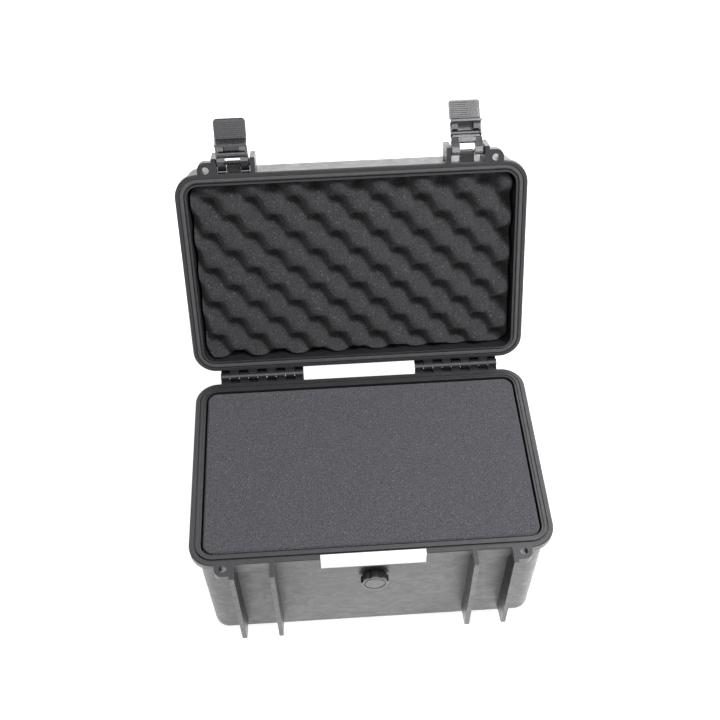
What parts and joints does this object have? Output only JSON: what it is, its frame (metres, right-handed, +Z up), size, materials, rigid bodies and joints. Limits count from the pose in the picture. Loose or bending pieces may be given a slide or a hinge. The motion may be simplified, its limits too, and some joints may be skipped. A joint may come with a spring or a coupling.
{
  "type": "microphone case",
  "caption": "Moulded carrying case with a hinged lid, over-centre latches, padlock eyes, a pressure valve and foam lining for microphones.",
  "frame": {"origin": "centre of the underside of the base, on the surface the case stands on", "axes": "+X to the right seen from the latches, +Y from the latches to the hinges, +Z up"},
  "size_m": [0.3, 0.3306, 0.3527],
  "materials": {
    "shell": "fine moulded texture",
    "latch": "satin moulded",
    "pin": "ground stainless",
    "seal": "matt",
    "valve": "satin moulded",
    "membrane": "smooth",
    "plate": "plain",
    "foam": "open cell",
    "lid_foam": "open cell",
    "grip": "soft touch"
  },
  "bodies": {
    "case": {"base_shell": "shell", "hinge_pin_left": "pin", "hinge_pin_right": "pin", "valve_body": "valve", "valve_nut": "valve", "valve_membrane": "membrane", "label_plate": "plate", "base_foam_top": "foam", "base_foam_middle": "foam", "base_foam_pad": "foam"},
    "lid": {"lid_shell": "shell", "lid_gasket": "seal", "lid_foam": "lid_foam", "latch_left_pivot_pins": "pin", "latch_right_pivot_pins": "pin", "handle_pin_left": "pin", "handle_pin_right": "pin"},
    "left_link": {"latch_left_link": "latch"},
    "left_lever": {"latch_left_lever": "latch", "latch_left_lever_pin": "pin"},
    "right_link": {"latch_right_link": "latch"},
    "right_lever": {"latch_right_lever": "latch", "latch_right_lever_pin": "pin"},
    "valve_seal": {"valve_oring": "seal"},
    "valve_knob": {"valve_knob": "valve"},
    "handle": {"handle_frame": "latch", "handle_grip": "grip"}
  },
  "joints": [
    {"name": "lid_hinge", "type": "hinge", "parent": "case", "child": "lid", "pos_m": [0, 0.099, 0.1355], "axis": [1, 0, 0], "range_deg": [0, 114.2]},
    {"name": "left_link_pivot", "type": "hinge", "parent": "lid", "child": "left_link", "pos_m": [-0.0985, 0.18794, 0.31315], "axis": [1, 0, 0], "range_deg": [-86, 46]},
    {"name": "left_lever_pivot", "type": "hinge", "parent": "left_link", "child": "left_lever", "pos_m": [-0.0985, 0.18169, 0.32734], "axis": [1, 0, 0], "range_deg": [-42, 48]},
    {"name": "right_link_pivot", "type": "hinge", "parent": "lid", "child": "right_link", "pos_m": [0.0985, 0.18794, 0.31315], "axis": [1, 0, 0], "range_deg": [-11, 121]},
    {"name": "right_lever_pivot", "type": "hinge", "parent": "right_link", "child": "right_lever", "pos_m": [0.0985, 0.20002, 0.32287], "axis": [1, 0, 0], "range_deg": [-90, 0]},
    {"name": "handle_pivot", "type": "hinge", "parent": "lid", "child": "handle", "pos_m": [0, 0.19266, 0.22168], "axis": [1, 0, 0], "range_deg": [-24.2, 75.8]},
    {"name": "valve_lift", "type": "slide", "parent": "case", "child": "valve_seal", "axis": [0, -1, 0], "range_m": [0, 0.0015]},
    {"name": "valve_turn", "type": "hinge", "parent": "valve_seal", "child": "valve_knob", "pos_m": [0.001, -0.09, 0.091], "axis": [0, -1, 0], "range_deg": [0, 540]}
  ],
  "couplings": [
    {"joint": "valve_lift", "follows": "valve_turn", "m_per_rad": 0.00015915}
  ]
}
